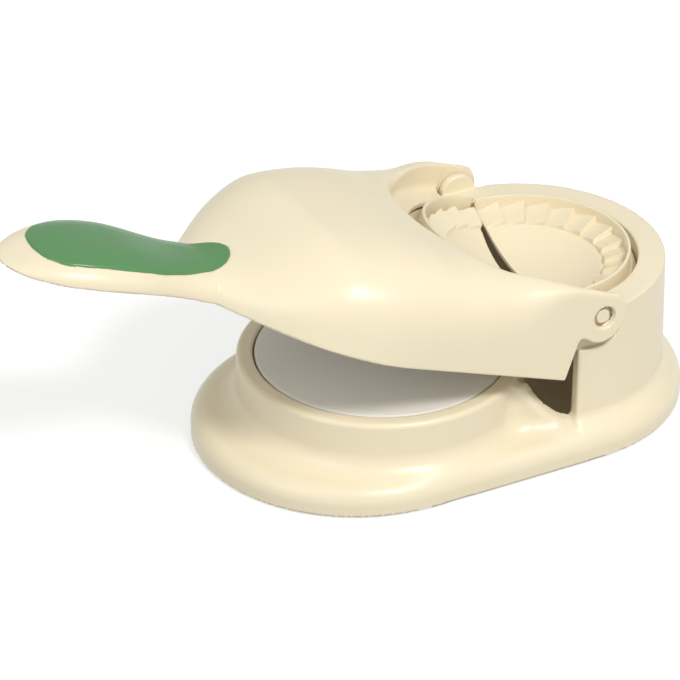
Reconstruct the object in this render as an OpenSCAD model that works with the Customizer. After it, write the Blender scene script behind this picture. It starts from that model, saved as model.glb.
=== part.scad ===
// Hand press for filled dough. A round platform cuts and holds the dough disc,
// a tower carries one half of a fluted folding mould, and one wide lever turns
// on two pins: it carries the other half of the mould, presses the platform
// when down and folds the mould shut when swung over.
// Millimetres, +Z up, +X from the handle to the tower, origin on the table.

/* [Foot and platform] */
// Radius of the round ends of the foot
foot_radius = 68.3; // [67:0.1:71]
// Distance between the centres of the two round ends
foot_spacing = 80; // [78:0.5:84]
// Height of the flat top of the foot
foot_height = 13; // [12:0.5:14]
// Radius of the rounded shoulder of the foot
foot_shoulder = 7.5; // [6.5:0.5:8]
// Height of the lower edge of the foot above the table
foot_gap = 0.8; // [0.5:0.1:1.2]
// Wall thickness of the foot and platform shell
wall = 2.8; // [2.4:0.1:3]
// Radius of the round platform
platform_radius = 60; // [59:0.5:60.5]
// Height of the rim of the platform above the table
platform_height = 35.5; // [34.6:0.1:35.6]
// Distance of the platform centre from the left end centre
platform_shift = 12.3; // [11.5:0.1:13]
// Radius of the rounded rim of the platform
platform_round = 3; // [2:0.5:3.5]
// Radius of the hollow fillet around the platform
platform_cove = 12; // [10:0.5:12]
// Radius of the hollow sweep that runs from the platform down to the tower
sweep_radius = 39.7; // [37:0.1:42]
// Height of the upper end of that sweep over the table
sweep_height = 49.5; // [48:0.1:51]

/* [Dough plate] */
// Radius of the white plate
plate_radius = 52.1; // [50:0.1:53]
// Thickness of the white plate
plate_thickness = 2.8; // [2.4:0.1:3]
// Gap between the plate and the edge of its seat
plate_gap = 0.8; // [0.5:0.1:1]
// Depth of the plate below the platform rim
plate_drop = 0.7; // [0.5:0.1:1]

/* [Tower] */
// Radius of the tower at its top
tower_radius = 59; // [58.8:0.1:59.4]
// Widening of the tower from its top to its root
tower_draft = 1.2; // [0.8:0.1:1.4]
// Height of the tower deck
tower_height = 64.8; // [64.4:0.1:65]
// Thickness of the tower wall at the top
tower_wall = 4.2; // [3.8:0.1:4.4]
// Distance of the open tower front from the tower axis
tower_front = 8.2; // [7.8:0.1:8.6]
// Thickness of the deck
deck_thickness = 3; // [2.6:0.1:3.2]
// Radius of the well in the deck
well_radius = 46.9; // [46.7:0.1:47.1]
// Thickness of the wall around the well
well_wall = 2.6; // [2.2:0.1:2.8]
// Height of the ledge that carries the fixed mould
ledge_height = 57; // [56.8:0.1:57.1]
// Inner radius of the ledge
ledge_radius = 44.4; // [44:0.1:44.8]
// Thickness of the ledge
ledge_thickness = 2.5; // [2:0.1:2.8]

/* [Hinge] */
// Distance of the pin axis behind the tower axis
pin_shift = 0.8; // [0.6:0.1:1]
// Depth of the pin axis below the deck
pin_drop = 0.6; // [0.5:0.1:0.7]
// Radius of the two hinge pins
pin_radius = 4.2; // [3.6:0.1:4.6]
// Radial clearance of the pins in the lever
pin_clearance = 0.05; // [0.03:0.01:0.08]
// Length of each hinge pin
pin_length = 4.1; // [3.6:0.1:4.2]
// Distance of the outer pin end below the cheek face
pin_sink = 1.4; // [1.2:0.1:1.6]
// Radius of the two lugs on the tower
lug_radius = 8.3; // [7.6:0.1:8.8]
// Thickness of each lug outside the recess
lug_thickness = 2.9; // [2.6:0.1:3]
// Depth of the recess in the tower side behind each cheek
recess_depth = 1.7; // [1.4:0.1:1.8]
// Radius of that recess around the pin
recess_radius = 15.5; // [14.5:0.1:16.5]

/* [Lever] */
// Turn of the lever above its pressed position, in degrees
lever_tilt = 19.9; // [16:0.1:22]
// Gap between the tower radius and each cheek
cheek_gap = 1.5; // [1.4:0.1:1.7]
// Thickness of the cheeks
cheek_wall = 2.9; // [2.6:0.1:3.1]
// Radius of the round cheek end
cheek_end = 11.5; // [10.8:0.1:11.8]
// Distance of the straight cheek edge from the pin axis
cheek_edge = 8.2; // [7.8:0.1:9]
// Radius of the outer counterbore around each pin
counterbore_radius = 5.4; // [5.1:0.1:6]
// Depth of that counterbore
counterbore_depth = 1.4; // [1.2:0.1:1.5]
// Wall thickness of the lever shell
lever_wall = 2.5; // [2.2:0.1:2.7]
// Depth of the lever rim below the pin axis
rim_drop = 29.5; // [29.4:0.1:30]
// Height of the lever top above the pin axis
top_rise = 11.2; // [10.8:0.1:11.6]
// Thickness of the lever side beside the round recess
pan_wall = 2.4; // [2:0.1:2.5]
// Depth of the recess floor below the pin axis
pan_drop = 1; // [0.8:0.1:1.2]
// Width of the recess floor around its opening
pan_ledge = 10; // [9.6:0.1:11]
// Distance of the front edge of the floor from the pin axis
pan_front = 9.8; // [9.6:0.1:10.4]
// Start of the round nose of the lever, from the pin axis
nose_start = 77; // [75:0.5:78]
// Length of the round nose
nose_length = 76.3; // [75:0.1:77.5]
// Reach of the sharp top edges along the lever, from the pin axis
edge_reach = 17; // [14:0.5:19]
// Rise of the domed top over the lever top
dome_rise = 0.9; // [0.6:0.1:1.4]
// Distance of the handle tip from the pin axis
tip_reach = 240; // [236:0.5:245]
// Length of the slope that leads down from the domed top to the handle
slope_length = 42.8; // [40:0.1:45]
// Rise of the lever rim along the nose
nose_rise = 1.6; // [1.2:0.1:2]
// Half width of the handle at its neck
neck_half_width = 21.4; // [20.4:0.1:22.4]
// Distance of the slimmest point of the handle from the nose
neck_offset = 6.9; // [6:0.1:9]
// Half width of the handle at its grip
grip_half_width = 27; // [25.5:0.1:28]
// Distance of the widest grip point from the pin axis
grip_reach = 195; // [192:0.5:200]
// Depth of the handle top below the pin axis at the neck
neck_drop = 16.4; // [15.8:0.1:17.2]
// Depth of the handle top below the pin axis at the grip
grip_drop = 13; // [12.4:0.1:13.6]
// Further rise of the handle rim at the grip
grip_rise = 3.9; // [3.2:0.1:4.4]
// Half width of the soft inlay on the handle
inlay_half_width = 22.3; // [20.5:0.1:22.6]
// Depth of the inlay pocket
inlay_depth = 1.2; // [0.9:0.1:1.3]
// Fall of the domed top towards the nose
dome_fall = 5; // [4.4:0.1:5.6]
// Fall of the handle rim from the grip to the tip
tip_fall = 2.6; // [2:0.1:3]
// Gap between the inlay and its pocket
inlay_gap = 0.15; // [0.12:0.01:0.2]
// Height of the inlay above the handle
inlay_rise = 0.3; // [0.2:0.1:0.5]

/* [Folding mould] */
// Outer radius of the raised rim of the moving half
rim_radius = 46.4; // [46.1:0.1:46.5]
// Thickness of the raised rims
rim_wall = 1.5; // [1.2:0.1:1.6]
// Inner radius of the groove that takes the fixed rim
groove_radius = 42.5; // [42.1:0.1:42.5]
// Outer radius of the rim of the fixed half
fixed_rim_radius = 43.9; // [43.8:0.1:44.2]
// Thickness of the rim of the fixed half
fixed_rim_wall = 1.3; // [1:0.1:1.3]
// Height of the rims above the pin axis
rim_rise = 3.3; // [3:0.1:3.4]
// Gap between each half and the folding line
fold_gap = 0.3; // [0.2:0.1:0.5]
// Radius of the round filling hollow at the height of the folding line
hollow_radius = 40.5; // [39:0.5:41]
// Depth of the filling hollow
hollow_depth = 15; // [13:0.5:16]
// Wall thickness of the filling hollow
hollow_wall = 2; // [1.6:0.1:2]
// Length of the fanned flutes, from the rim of the fixed half inwards
flute_length = 9.6; // [8.4:0.1:10.4]
// Slope of the flutes into the hollow, in degrees
flute_slope = 20; // [16:1:22]
// Mean depth of the outer ends of the flutes below the pin axis
flute_drop = 1.2; // [1.2:0.1:1.5]
// Number of flutes on each half
flute_count = 12; // [8:1:14]
// Turn of each flute, in degrees
flute_tilt = 16; // [10:1:17]
// Angle of the gap between two flutes, in degrees
flute_gap = 0.6; // [0.4:0.1:1]
// Depth of the mounting flange below the pin axis
flange_drop = 5; // [5:0.1:5.2]
// Thickness of the mounting flange
flange_thickness = 2; // [1.8:0.1:2.2]

/* [Covers, screws and feet] */
// Thickness of the covers below foot, lever and handle
cover_thickness = 2; // [1.8:0.1:2.2]
// Height of the foot cover above the table
cover_height = 1.5; // [1.3:0.1:1.8]
// Radius of the disc that presses the dough
presser_radius = 50.5; // [48:0.5:51.5]
// Thickness of that disc
presser_thickness = 2.1; // [1.8:0.1:2.2]
// Distance of the lever cover above the lever rim
cover_rise = 3; // [2.9:0.1:3.3]
// Radius of the screw shanks
screw_radius = 1.3; // [1:0.1:1.5]
// Depth to which the screws hold in their bosses
screw_bite = 8; // [6:0.5:8]
// Radius of the screw heads
screw_head_radius = 2.7; // [2.3:0.1:2.9]
// Height of the screw heads
screw_head_height = 1.2; // [1:0.1:1.2]
// Radius of the screw bosses
boss_radius = 3.8; // [3.4:0.1:4]
// Radius of the rubber feet
pad_radius = 7; // [6:0.5:9]
// Distance of the rubber feet from the foot centre, lengthwise
pad_x = 70; // [64:0.5:74]
// Distance of the rubber feet from the foot centre, crosswise
pad_y = 38; // [34:0.5:42]

/* [Hidden] */
$fn = 72;
big = 400;
tower_x = foot_spacing / 2;
platform_x = platform_shift - foot_spacing / 2;
front_x = tower_x - tower_front;
pin_x = tower_x + pin_shift;
pin_z = tower_height - pin_drop;
cheek_inner = tower_radius + cheek_gap;
cheek_outer = cheek_inner + cheek_wall;
tower_root_radius = tower_radius + tower_draft;
pan_radius = cheek_outer - pan_wall;
pan_opening = pan_radius - pan_ledge;
shoulder_r = foot_radius - foot_shoulder;
shoulder_z = foot_height - foot_shoulder;
lug_face = tower_radius - recess_depth + lug_thickness;
pin_outer = cheek_outer - pin_sink;
seat_z = platform_height - plate_drop - plate_thickness;
inner_tower = tower_radius - tower_wall;
flange_top = -flange_drop;
flange_low = flange_top - flange_thickness;
cover_z = cover_rise - rim_drop;
nose_end = nose_start + nose_length;
hollow_arc = (pow(hollow_radius, 2) + pow(hollow_depth, 2)) / (2 * hollow_depth);
land_radius = fixed_rim_radius - fixed_rim_wall - flute_length;
land_low = -flute_drop - 5.3;
fixed_screw_angles = [-64, -22, 22, 64];
moving_screw_angles = [-60, -24, 24, 60];
fixed_screw_r = groove_radius - 2;
moving_screw_r = (pan_opening + pan_radius) / 2;
cover_screw_r = foot_radius - wall - boss_radius - 2;
neck_x = nose_end + neck_offset;
cover_edge = 0.4;
handle_seat = cover_edge + 0.4;
form_drop = 8;

// ---- colours of the pieces ----
cream = [0.93, 0.88, 0.76];
white = [0.94, 0.94, 0.92];
green = [0.41, 0.61, 0.41];
dark = [0.2, 0.2, 0.2];
steel = [0.7, 0.7, 0.72];

// ---- foot, platform and tower ----

// Solid between two round ends; its child is the half section of the ends.
module stadium() {
  for (s = [-1, 1])
    translate([s * foot_spacing / 2, 0, 0])
      rotate_extrude()
        children();
  for (s = [0, 180])
    rotate([0, 0, s])
      rotate([90, 0, 90])
        linear_extrude(foot_spacing, center = true)
          children();
}

module foot_section(inset) {
  translate([0, foot_gap - (inset > 0 ? foot_height : 0)])
    square([foot_radius - inset, shoulder_z - foot_gap + (inset > 0 ? foot_height : 0)]);
  square([shoulder_r, foot_height - inset]);
  intersection() {
    translate([shoulder_r, shoulder_z])
      circle(foot_shoulder - inset);
    square([foot_radius, foot_height]);
  }
}

module foot_form(inset) {
  difference() {
    stadium()
      foot_section(inset);
    if (inset == 0)
      translate([-big / 2, -big / 2, foot_gap - big])
        cube([big, big, big]);
  }
}

module foot_inset_column(height) {
  for (s = [-1, 1])
    translate([s * foot_spacing / 2, 0, 0])
      cylinder(r = shoulder_r, h = height);
  translate([-foot_spacing / 2, -shoulder_r, 0])
    cube([foot_spacing, 2 * shoulder_r, height]);
}

module platform_form() {
  translate([platform_x, 0, 0]) {
    translate([0, 0, foot_gap])
      cylinder(r = platform_radius, h = platform_height - platform_round - foot_gap);
    rotate_extrude()
      union() {
        square([platform_radius - platform_round, platform_height]);
        intersection() {
          translate([platform_radius - platform_round, platform_height - platform_round])
            circle(platform_round);
          square([platform_radius, platform_height]);
        }
      }
  }
}

module platform_fillet() {
  intersection() {
    translate([platform_x, 0, 0])
      rotate_extrude()
        difference() {
          translate([platform_radius - 1, shoulder_z])
            square([platform_cove + 1, foot_height - shoulder_z + platform_cove]);
          translate([platform_radius + platform_cove, foot_height + platform_cove])
            circle(platform_cove);
        }
    foot_inset_column(platform_height);
  }
}

// The flank carries the tower wall on towards the platform under a hollow sweep.
module flank_form() {
  intersection() {
    translate([tower_x, 0, foot_height - 3])
      cylinder(r = tower_root_radius, h = platform_height);
    translate([platform_x, 0, 0])
      rotate_extrude()
        difference() {
          translate([platform_radius - platform_round - 1, foot_height - 2])
            square([sweep_radius, platform_height - 1.5 - foot_height]);
          translate([platform_radius + 0.9 + sweep_radius, sweep_height])
            circle(sweep_radius);
        }
  }
}

module tower_form() {
  intersection() {
    union() {
      translate([tower_x, 0, foot_height])
        cylinder(r1 = tower_root_radius, r2 = tower_radius, h = tower_height - foot_height);
      translate([tower_x, 0, foot_gap])
        cylinder(r = tower_root_radius, h = foot_height - foot_gap);
    }
    translate([front_x, -big / 2, 0])
      cube([big, big, big]);
  }
  tower_fillet();
}

module tower_fillet() {
  cove = foot_shoulder * 0.7;
  drop = sqrt(pow(cove + foot_shoulder, 2) - pow(tower_root_radius + cove - shoulder_r, 2));
  intersection() {
    translate([tower_x, 0, 0])
      rotate_extrude()
        difference() {
          polygon([
            [tower_root_radius - 1, shoulder_z],
            [shoulder_r, shoulder_z],
            [tower_root_radius + cove, shoulder_z + drop],
            [tower_root_radius - 1, shoulder_z + drop]
          ]);
          translate([tower_root_radius + cove, shoulder_z + drop])
            circle(cove);
        }
    translate([tower_x, -big / 2, 0])
      cube([big, big, big]);
  }
}

module tower_hollow() {
  difference() {
    translate([tower_x, 0, -1])
      cylinder(r = inner_tower, h = tower_height - deck_thickness + 1);
    translate([platform_x, 0, -2])
      cylinder(r = platform_radius, h = platform_height - platform_round + 2);
    translate([pin_x, 0, ledge_height - ledge_thickness])
      intersection() {
        difference() {
          cylinder(r = well_radius + well_wall, h = tower_height);
          translate([0, 0, -1])
            cylinder(r = ledge_radius, h = tower_height + 2);
        }
        translate([front_x - pin_x, -big / 2, -1])
          cube([big, big, big]);
      }
    fixed_screw_ears();
  }
}

module fixed_screw_ears() {
  for (a = fixed_screw_angles)
    translate([pin_x, 0, ledge_height - ledge_thickness])
      rotate([0, 0, a])
        translate([fixed_screw_r + 0.6, 0, 0])
          cylinder(r = boss_radius + 0.6, h = ledge_thickness);
}

module hinge_recess(s) {
  back = tower_radius - recess_depth;
  translate([pin_x, s * (back + 10), pin_z])
    rotate([90, 0, 0])
      cylinder(r = recess_radius, h = 20, center = true);
  translate([front_x - 1, s > 0 ? back : -back - 20, pin_z - recess_radius])
    cube([pin_x - front_x + 1, 20, recess_radius + 20]);
}

module lug(s) {
  root = 0.9;
  translate([pin_x, s * lug_face, pin_z])
    rotate([s > 0 ? 90 : -90, 0, 0])
      cylinder(r = lug_radius, h = lug_thickness + root);
}

module cover_boss_spots() {
  for (s = [-1, 1], a = [-34, 34])
    translate([s * foot_spacing / 2, 0, 0])
      rotate([0, 0, s > 0 ? a : 180 - a])
        translate([cover_screw_r, 0, 0])
          children();
  for (s = [-1, 1])
    translate([0, s * cover_screw_r, 0])
      children();
}

module base_solid() {
  foot_form(0);
  platform_form();
  platform_fillet();
  flank_form();
  tower_form();
}

module base_shell() {
  color(cream)
    difference() {
      union() {
        difference() {
          base_solid();
          difference() {
            union() {
              foot_form(wall);
              translate([platform_x, 0, -1])
                cylinder(r = platform_radius - wall, h = seat_z - wall + 1);
            }
            difference() {
              translate([platform_x, 0, foot_gap + cover_thickness + 1])
                cylinder(r = platform_radius, h = platform_height);
              translate([platform_x, 0, -1])
                cylinder(r = platform_radius - wall, h = platform_height);
            }
          }
          tower_hollow();
          for (s = [-1, 1])
            hinge_recess(s);
          translate([pin_x, 0, ledge_height])
            cylinder(r = well_radius, h = tower_height);
        }
        for (s = [-1, 1])
          lug(s);
        intersection() {
          base_solid();
          translate([0, 0, cover_height + cover_thickness])
            cover_boss_spots()
              cylinder(r = boss_radius, h = foot_height + 3);
        }
      }
      translate([platform_x, 0, seat_z])
        cylinder(r = plate_radius + plate_gap, h = platform_height);
      for (s = [-1, 1])
        translate([pin_x, s * (pin_outer - pin_length), pin_z])
          rotate([s > 0 ? -90 : 90, 0, 0])
            cylinder(r = pin_radius, h = 20);
      translate([0, 0, cover_height])
        cover_boss_spots()
          cylinder(r = screw_radius, h = screw_bite + 1);
      fixed_screw_spots()
        translate([0, 0, -ledge_thickness - 1])
          cylinder(r = screw_radius, h = ledge_thickness + 2);
      translate([-big / 2, -big / 2, -big])
        cube([big, big, big + foot_gap]);
      translate([0, 0, -1])
        cover_outline(0.2, cover_height + cover_thickness + 1);
    }
}

module dough_plate() {
  color(white)
    translate([platform_x, 0, seat_z]) {
      cylinder(r = plate_radius, h = plate_thickness - 0.8);
      rotate_extrude()
        intersection() {
          square([plate_radius, plate_thickness]);
          union() {
            square([plate_radius - 0.8, plate_thickness]);
            translate([plate_radius - 0.8, plate_thickness - 0.8])
              circle(0.8);
          }
        }
    }
}

module cover_outline(gap, height) {
  r = foot_radius - wall - 0.2 + gap;
  for (s = [-1, 1])
    translate([s * foot_spacing / 2, 0, 0])
      cylinder(r = r, h = height);
  translate([-foot_spacing / 2, -r, 0])
    cube([foot_spacing, 2 * r, height]);
}

module bottom_cover() {
  color(cream)
    difference() {
      translate([0, 0, cover_height])
        cover_outline(0, cover_thickness);
      cover_boss_spots() {
        cylinder(r = screw_radius, h = foot_height);
        translate([0, 0, cover_height - 1])
          cylinder(r = screw_head_radius, h = screw_head_height + 1);
      }
    }
}

module bottom_cover_screws() {
  color(steel)
    cover_boss_spots()
      translate([0, 0, cover_height]) {
        cylinder(r = screw_head_radius, h = screw_head_height);
        cylinder(r = screw_radius, h = screw_bite);
      }
}

module rubber_foot(sx, sy) {
  color(dark)
    translate([sx * pad_x, sy * pad_y, 0])
      cylinder(r = pad_radius, h = cover_height);
}

module foot_near_left() {
  rubber_foot(-1, -1);
}

module foot_near_right() {
  rubber_foot(1, -1);
}

module foot_far_left() {
  rubber_foot(-1, 1);
}

module foot_far_right() {
  rubber_foot(1, 1);
}

module foot_middle() {
  rubber_foot(0, 0);
}

// ---- hinge pins ----

module hinge_pin(s) {
  color(cream)
    translate([pin_x, s * pin_outer, pin_z])
      rotate([s > 0 ? 90 : -90, 0, 0])
        cylinder(r = pin_radius, h = pin_length);
}

module near_hinge_pin() {
  hinge_pin(-1);
}

module far_hinge_pin() {
  hinge_pin(1);
}

// ---- folding mould, drawn about the pin axis with its half at +X ----

// A round bowl that the folding line halves.
module filling_hollow(grow) {
  rotate_extrude()
    intersection() {
      translate([0, hollow_arc - hollow_depth])
        circle(hollow_arc + grow);
      translate([0, -big])
        square([big, big + hollow_arc - hollow_depth]);
    }
}

module half_space(x) {
  translate([x, -big / 2, -big / 2])
    cube([big, big, big]);
}

module tube(outer, inner, low, high) {
  translate([0, 0, low])
    difference() {
      cylinder(r = outer, h = high - low);
      translate([0, 0, -1])
        cylinder(r = inner, h = high - low + 2);
    }
}

// Fanned flutes that slope into the hollow, with a narrow gap between neighbours.
module flutes(outer, turn) {
  step = 180 / flute_count;
  for (i = [0 : flute_count - 1])
    rotate([0, 0, i * step - 90])
      intersection() {
        rotate([0, 0, flute_gap / 2])
          rotate_extrude(angle = step - flute_gap)
            translate([land_radius, land_low + 0.1])
              square([outer - land_radius, rim_rise - land_low]);
        rotate([0, 0, step / 2])
          translate([groove_radius, 0, -flute_drop])
            rotate([turn * flute_tilt, 0, 0])
              rotate([0, -flute_slope, 0])
                translate([-30, -20, -12])
                  cube([40, 40, 12]);
      }
}

// Height of the low edge of the flutes, over the radius.
function flute_low(r) =
  let(side = sin(90 / flute_count) * tan(flute_tilt))
  -flute_drop - tan(flute_slope) * (groove_radius - r) - side * r;

// Room for the flutes, cut out of the plate and the bowl that carry them.
module flute_room(outer) {
  near = land_radius - 5;
  far = outer + 1;
  rotate_extrude()
    polygon([
      [near, flute_low(near) - 0.1],
      [far, flute_low(far) - 0.1],
      [far, rim_rise],
      [near, rim_rise]
    ]);
}

module mould_land(outer, turn) {
  intersection() {
    union() {
      difference() {
        union() {
          translate([0, 0, land_low])
            cylinder(r = outer + 0.1, h = 1.9);
          intersection() {
            filling_hollow(hollow_wall);
            translate([0, 0, -big])
              cylinder(r = big, h = big + land_low + 1);
          }
        }
        filling_hollow(0);
        flute_room(outer);
      }
      flutes(outer, turn);
    }
    half_space(fold_gap);
  }
}

module fixed_screw_spots() {
  for (a = fixed_screw_angles)
    translate([pin_x, 0, ledge_height])
      rotate([0, 0, a])
        translate([fixed_screw_r, 0, 0])
          children();
}

module fixed_mould() {
  ledge = ledge_height - pin_z;
  color(cream)
    difference() {
      translate([pin_x, 0, pin_z])
        union() {
          mould_land(fixed_rim_radius - fixed_rim_wall + 0.5, -1);
          intersection() {
            union() {
              tube(fixed_rim_radius, fixed_rim_radius - fixed_rim_wall, ledge, rim_rise);
              tube(rim_radius, groove_radius - 5, ledge, ledge + flange_thickness);
            }
            half_space(fold_gap);
          }
        }
      fixed_screw_spots()
        translate([0, 0, -1])
          cylinder(r = screw_radius, h = flange_thickness + 1.7);
    }
}

module fixed_mould_screws() {
  color(steel)
    fixed_screw_spots()
      translate([0, 0, -ledge_thickness]) {
        cylinder(r = screw_radius, h = ledge_thickness + flange_thickness + 0.5);
        translate([0, 0, -screw_head_height])
          cylinder(r = screw_head_radius, h = screw_head_height);
      }
}

// ---- lever, drawn with +X from the pin axis to the handle tip ----

module on_lever() {
  translate([pin_x, 0, pin_z])
    rotate([0, lever_tilt, 0])
      mirror([1, 0, 0])
        children();
}

function ease(t) =
  let(u = min(1, max(0, t)))
  u * u * (3 - 2 * u);

function soft_max(a, b, k) =
  max(a, b) + pow(max(0, k - abs(a - b)), 2) / (4 * k);

function nose_part(x) = min(1, max(0, (x - nose_start) / nose_length));

function half_width(x) =
  let(nose = cheek_outer * pow(1 - pow(nose_part(x), 2.5), 0.56))
  let(to_grip = ease((x - neck_x) / (grip_reach - neck_x)))
  let(to_tip = min(1, max(0, (x - grip_reach) / (tip_reach - grip_reach))))
  let(grip = neck_half_width + (grip_half_width - neck_half_width) * to_grip)
  soft_max(nose, grip, 21.5) * sqrt(1 - 0.99 * pow(to_tip, 2));

function rim_height(x) =
  -rim_drop + nose_rise * ease((x - nose_start - 9.5) / (nose_length - 25))
  + grip_rise * ease((x - nose_end + 6) / (grip_reach - nose_end + 4))
  - tip_fall * ease((x - grip_reach) / (tip_reach - grip_reach));

function crest_height(x) =
  let(rim = rim_height(x))
  let(up = ease((x - nose_start + 16) / 15))
  let(down = ease((x - nose_start - 4.5) / 45))
  let(dome = top_rise + dome_rise * up - dome_fall * down)
  let(t = ease((x - neck_x) / (grip_reach - neck_x)))
  let(handle = -neck_drop + (neck_drop - grip_drop) * t)
  let(slope = ease((x - nose_end + 41.5) / slope_length))
  let(fall = min(1, max(0, (x - grip_reach - 2) / (tip_reach - grip_reach - 2))))
  rim + (dome * (1 - slope) + handle * slope - rim) * (1 - 0.98 * pow(fall, 2.3));

// Squareness of the lever's section; its edges are sharpest beside the hinge.
function roundness(x) =
  let(u = max(0, x))
  min(50, 3.4 + 16 * exp(-u / 22) + 100 * exp(-pow(u / edge_reach, 2)) - 0.6 * ease((u - 100) / 50));

// Half width of the space in the lever at a height.
function inner_width(x, z) =
  let(p = roundness(x))
  let(low = rim_height(x) - form_drop)
  let(part = min(1, max(0, (z - low) / (crest_height(x) - lever_wall - low))))
  (half_width(x) - cheek_wall) * pow(1 - pow(part, p), 1 / p);

// Height of the lever skin at a place, as a part of its half width.
function skin_height(x, y) =
  let(p = roundness(x))
  let(part = min(1, abs(y) / half_width(x)))
  rim_height(x) + (crest_height(x) - rim_height(x)) * pow(1 - pow(part, p), 1 / p);

stations = [
  -14, 0, 9, 17, 25, 33, 43, 55, 66, 76, 84, 91, 97.5, 103.5, 109, 114.5, 119.5, 124, 128, 132,
  135.5, 139, 142, 145, 148, 150.5, 153.3, 157, 162, 168, 176, 184, 193, 202, 209, 216, 222,
  227.5, 232, 235.5, 238.5, 240
];

function section_point(x, t, side, top, drop) =
  let(p = roundness(x))
  let(n = pow(pow(abs(sin(t)), p) + pow(abs(cos(t)), p), -1 / p))
  let(rim = rim_height(x) - drop)
  [
    x,
    (half_width(x) - side) * sin(t) * n,
    rim + (crest_height(x) - top - rim) * cos(t) * n
  ];

// Closed skin through rings of points; every ring has the same count.
module loft(rings) {
  m = len(rings[0]);
  n = len(rings);
  half = floor(m / 2);
  first = rings[0];
  last = rings[n - 1];
  hubs = [for (ring = [first, last]) (ring[0] + ring[m - 1] + 2 * ring[half]) / 4];
  points = concat([for (ring = rings, p = ring) p], hubs);
  sides = [
    for (i = [0 : n - 2], j = [0 : m - 1])
      let(a = i * m + j, b = i * m + (j + 1) % m)
      each [[b, a, b + m], [b + m, a, a + m]]
  ];
  start = [for (j = [0 : m - 1]) [n * m, j, (j + 1) % m]];
  base = (n - 1) * m;
  end = [for (j = [0 : m - 1]) [n * m + 1, base + (j + 1) % m, base + j]];
  polyhedron(points, concat(sides, start, end));
}

function reached(x) = x * tip_reach / stations[len(stations) - 1];

module lever_form(side, top, drop) {
  count = 20;
  step = 180 / count;
  loft([
    for (s = stations)
      let(x = reached(s))
      if (x < tip_reach - side || side == 0)
        [for (k = [0 : count]) section_point(x, 90 - k * step, side, top, drop)]
  ]);
}

// Side view of the lever's hinge end.
module lever_side() {
  fillet = 4;
  reach = cheek_end + fillet;
  low = -sqrt(pow(reach, 2) - pow(cheek_edge - fillet, 2));
  circle(cheek_end);
  square([cheek_edge + 1, 2 * cheek_end]);
  translate([cheek_edge, -60])
    square([300, 120]);
  difference() {
    polygon([
      [(cheek_edge - fillet) * cheek_end / reach, low * cheek_end / reach],
      [cheek_edge - fillet, low],
      [cheek_edge + 1, low],
      [cheek_edge + 1, 0],
      [cheek_edge - 1, -2]
    ]);
    translate([cheek_edge - fillet, low])
      circle(fillet);
  }
}

module lever_outline() {
  rotate([90, 0, 0])
    linear_extrude(160, center = true)
      lever_side();
}

module pan_spots(angles) {
  for (a = angles)
    rotate([0, 0, a])
      translate([moving_screw_r, 0, 0])
        children();
}

module under_screw_spots() {
  for (s = [-1, 1]) {
    translate([cheek_edge + 4 * boss_radius, s * (pan_radius - boss_radius - 1.2), 0])
      children();
    translate([nose_end - 36, s * 28, 0])
      children();
  }
}

module handle_screw_spots() {
  for (x = [neck_x + 14, grip_reach + 16])
    translate([x, 0, rim_height(x)])
      children();
}

module inlay_form(top, bottom, grow) {
  start = nose_end - 11.5;
  end = tip_reach - 11.7;
  count = 12;
  loft([
    for (i = [0 : 30])
      let(u = (1 - cos(180 * i / 30)) / 2)
      let(x = start - grow + (end - start + 2 * grow) * u)
      let(wave = 1 - 0.5 * ease((grip_reach - x) / (grip_reach - start + 2)))
      let(near = sqrt(1 - pow(1 - min(1, (u + 0.002) / 0.14), 2)))
      let(far = sqrt(1 - pow(max(0, (x - grip_reach + 8) / (end + 0.6 + grow - grip_reach + 8)), 4)))
      let(w = grow + inlay_half_width * min(wave * near, far))
      concat(
        [for (j = [0 : count]) let(y = w * (1 - 2 * j / count)) [x, y, skin_height(x, y) + top]],
        [for (j = [0 : count]) let(y = -w * (1 - 2 * j / count)) [x, y, skin_height(x, y) - bottom]]
      )
  ]);
}

// What stays inside the hollow lever: the recess and the screw bosses.
module lever_ribs() {
  intersection() {
    union() {
      translate([0, 0, -pan_drop - lever_wall])
        cylinder(r = pan_radius + lever_wall, h = 40);
      pan_spots(moving_screw_angles)
        translate([0, 0, flange_top])
          cylinder(r = boss_radius, h = 3);
    }
    half_space(pan_front);
  }
  under_screw_spots()
    translate([0, 0, cover_z + cover_thickness])
      cylinder(r = boss_radius, h = 60);
  handle_screw_spots()
    translate([0, 0, handle_seat + cover_thickness])
      cylinder(r = boss_radius, h = 30);
}

module lever_shell() {
  $fn = 36;
  color(cream)
    on_lever()
      difference() {
        lever_form(0, 0, 0);
        difference() {
          lever_form(cheek_wall, lever_wall, form_drop);
          lever_ribs();
        }
        translate([0, 0, -pan_drop])
          cylinder(r = pan_radius, h = 60);
        translate([0, 0, -10])
          cylinder(r = pan_opening, h = 60);
        translate([-40, -cheek_inner, -60])
          cube([40 + pan_front, 2 * cheek_inner, 120]);
        difference() {
          translate([-60, -100, -80])
            cube([120, 200, 160]);
          lever_outline();
        }
        rotate([90, 0, 0])
          cylinder(r = pin_radius + pin_clearance, h = 200, center = true);
        for (s = [-1, 1])
          translate([0, s * (cheek_outer - counterbore_depth + 5), 0])
            rotate([90, 0, 0])
              cylinder(r = counterbore_radius, h = 10, center = true);
        inlay_form(9, inlay_depth + inlay_gap, inlay_gap);
        under_screw_spots()
          translate([0, 0, cover_z])
            cylinder(r = screw_radius, h = screw_bite + cover_thickness + 1);
        handle_screw_spots()
          cylinder(r = screw_radius, h = screw_bite);
        pan_spots(moving_screw_angles)
          translate([0, 0, flange_low])
            cylinder(r = screw_radius, h = 5);
      }
}

module grip_inlay() {
  color(green)
    on_lever()
      inlay_form(inlay_rise, inlay_depth, 0);
}

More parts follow.
